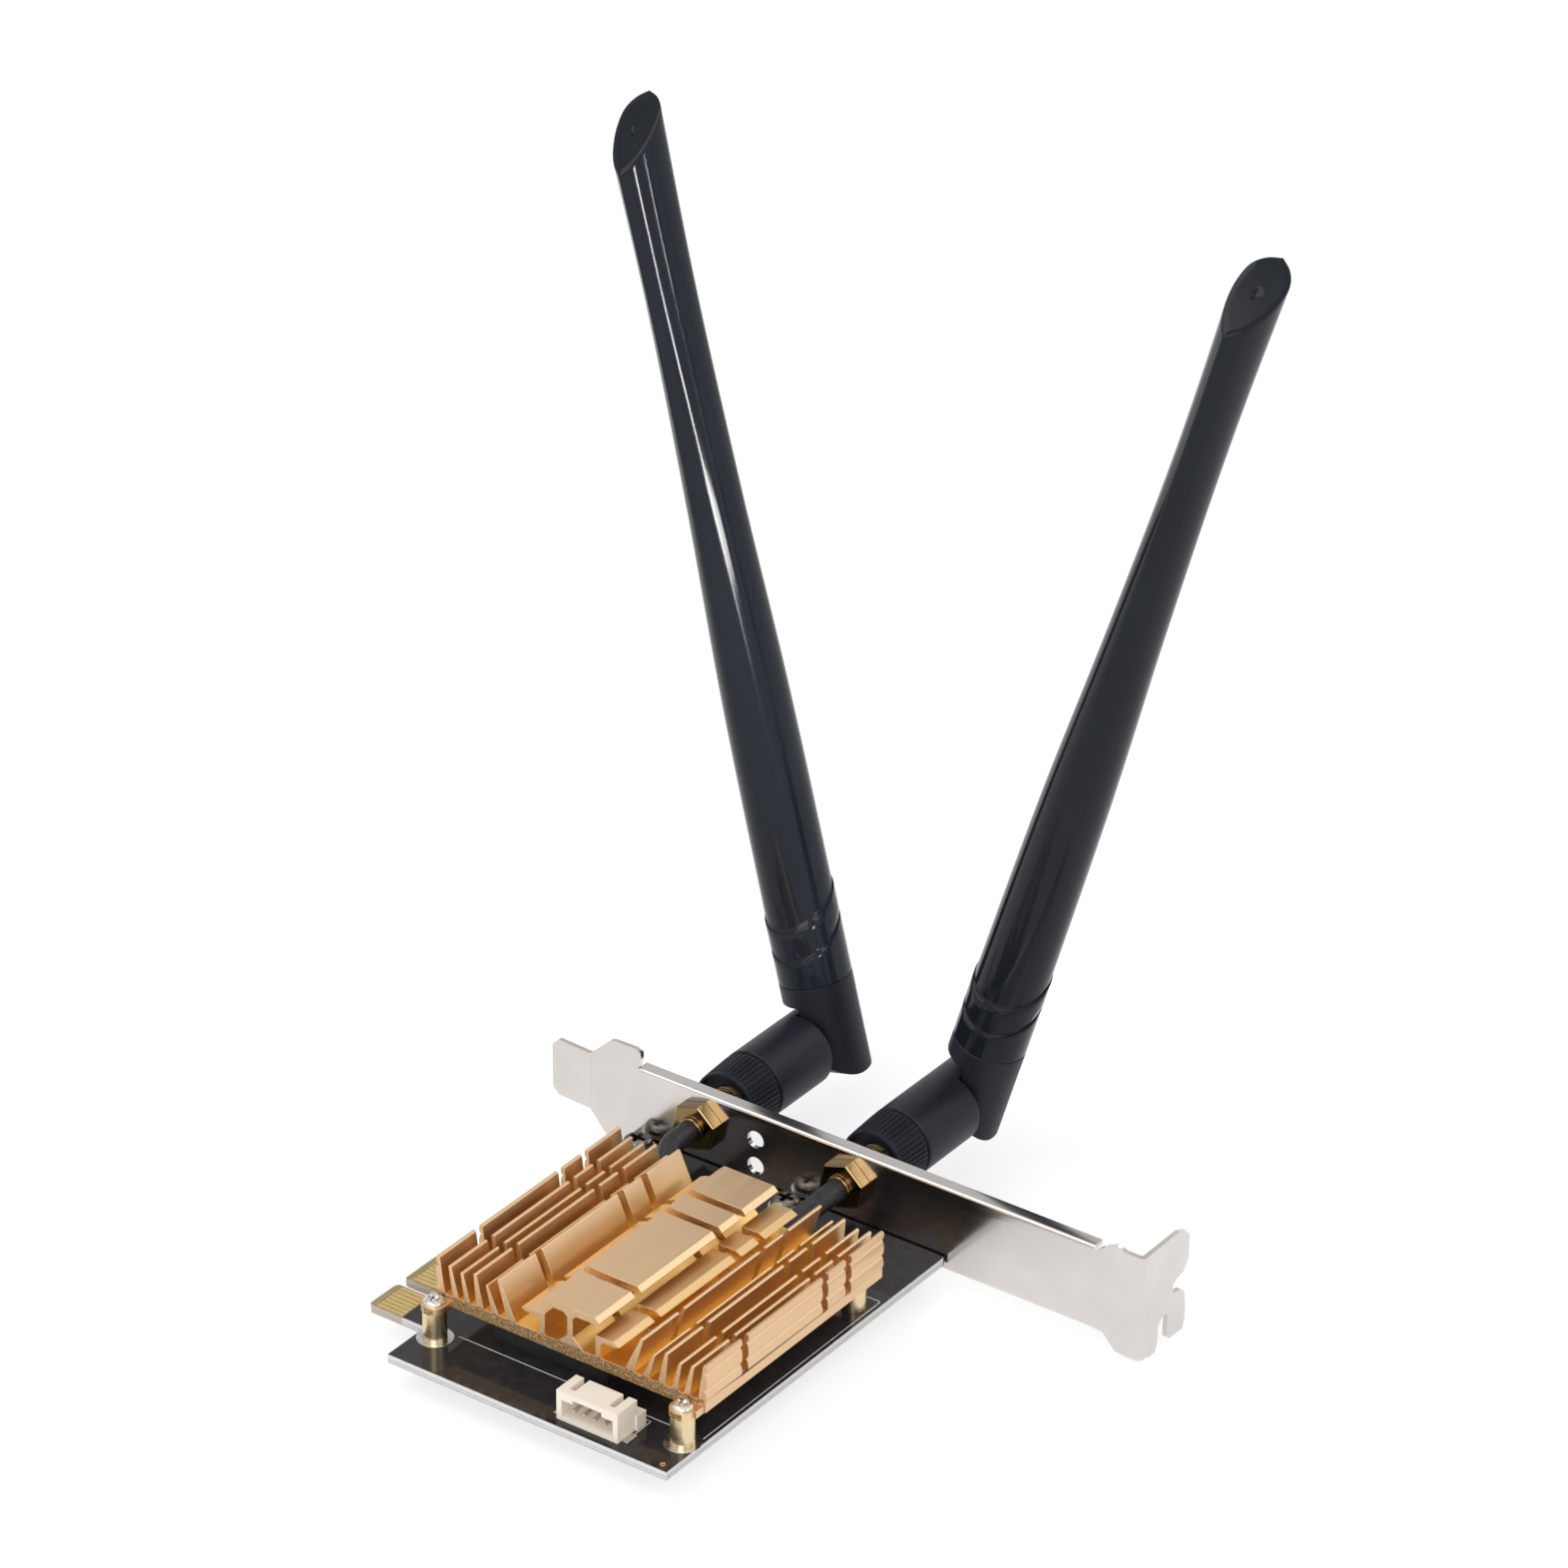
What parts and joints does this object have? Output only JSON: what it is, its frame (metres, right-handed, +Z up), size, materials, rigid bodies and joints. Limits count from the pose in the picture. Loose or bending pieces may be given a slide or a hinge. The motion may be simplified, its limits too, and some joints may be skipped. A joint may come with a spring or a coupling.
{
  "type": "pcie wifi card",
  "caption": "Expansion card with a finned gold heat sink, steel slot bracket and folding, swivelling aerials that screw onto the bracket to give a computer a wireless link.",
  "frame": {"origin": "outer face of the slot bracket, halfway between the two aerial sockets and level with the left one", "axes": "+X along the bracket towards its screw tab, +Y out of the case through the bracket, +Z up from the board through the heat sink"},
  "size_m": [0.1341, 0.1289, 0.1754],
  "materials": {
    "board_black": "glossy black solder mask",
    "contact_gold": "gold plated",
    "bracket_nickel": "bright nickel-plated steel",
    "screw_bright": "bright plated steel",
    "solder_tin": "tinned",
    "sink_gold": "gold anodised",
    "standoff_brass": "turned",
    "header_cream": "moulded",
    "module_green": "solder mask",
    "shield_steel": "tinned",
    "pad_grey": "soft",
    "socket_black": "moulded",
    "sleeve_black": "satin",
    "jack_gold": "gold plated",
    "core_white": "smooth",
    "satin_black": "satin",
    "pin_steel": "blackened",
    "blade_black": "glossy"
  },
  "bodies": {
    "card": {"circuit_board": "board_black", "edge_contacts": "contact_gold", "bracket": "bracket_nickel", "bracket_screws": "screw_bright", "bracket_pads": "solder_tin", "heat_sink": "sink_gold", "standoffs": "standoff_brass", "standoff_rings": "solder_tin", "heat_sink_screws": "screw_bright", "header_housing": "header_cream", "header_pins": "solder_tin", "header_solder_tabs": "solder_tin", "module_board": "module_green", "module_shield": "shield_steel", "thermal_pad": "pad_grey", "module_socket": "socket_black", "module_standoff": "standoff_brass", "module_screw": "screw_bright", "aerial_sockets": "contact_gold", "aerial_plugs": "contact_gold", "cable_sleeve_left": "sleeve_black", "aerial_cable_left": "sleeve_black", "socket_body_left": "jack_gold", "socket_core_left": "core_white", "lock_washer_left": "jack_gold", "lock_nut_left": "jack_gold", "cable_sleeve_right": "sleeve_black", "aerial_cable_right": "sleeve_black", "socket_body_right": "jack_gold", "socket_core_right": "core_white", "lock_washer_right": "jack_gold", "lock_nut_right": "jack_gold"},
    "nut_left": {"coupling_nut_left": "satin_black"},
    "barrel_left": {"antenna_barrel_left": "satin_black", "antenna_plug_left": "jack_gold", "pivot_pin_left": "pin_steel"},
    "blade_left": {"antenna_knuckle_left": "satin_black", "antenna_blade_left": "blade_black", "antenna_element_left": "standoff_brass"},
    "nut_right": {"coupling_nut_right": "satin_black"},
    "barrel_right": {"antenna_barrel_right": "satin_black", "antenna_plug_right": "jack_gold", "pivot_pin_right": "pin_steel"},
    "blade_right": {"antenna_knuckle_right": "satin_black", "antenna_blade_right": "blade_black", "antenna_element_right": "standoff_brass"}
  },
  "joints": [
    {"name": "left_nut_turn", "type": "hinge", "parent": "card", "child": "nut_left", "pos_m": [-0.01515, 0.01014, 0], "axis": [0, 1, 0], "continuous": true},
    {"name": "left_swivel", "type": "hinge", "parent": "card", "child": "barrel_left", "pos_m": [-0.01515, 0.02114, 0], "axis": [0, 1, 0], "range_deg": [-75.3, 14.7]},
    {"name": "left_elbow", "type": "hinge", "parent": "barrel_left", "child": "blade_left", "pos_m": [-0.01515, 0.03574, 0], "axis": [-0.9673, 0, -0.2538], "range_deg": [0, 90]},
    {"name": "right_nut_turn", "type": "hinge", "parent": "card", "child": "nut_right", "pos_m": [0.01515, 0.01014, -0.0001], "axis": [0, 1, 0], "continuous": true},
    {"name": "right_swivel", "type": "hinge", "parent": "card", "child": "barrel_right", "pos_m": [0.01515, 0.02114, -0.0001], "axis": [0, 1, 0], "range_deg": [-15.3, 74.7]},
    {"name": "right_elbow", "type": "hinge", "parent": "barrel_right", "child": "blade_right", "pos_m": [0.01515, 0.03574, -0.0001], "axis": [-0.9646, 0, 0.2639], "range_deg": [-3.1, 86.9]}
  ]
}
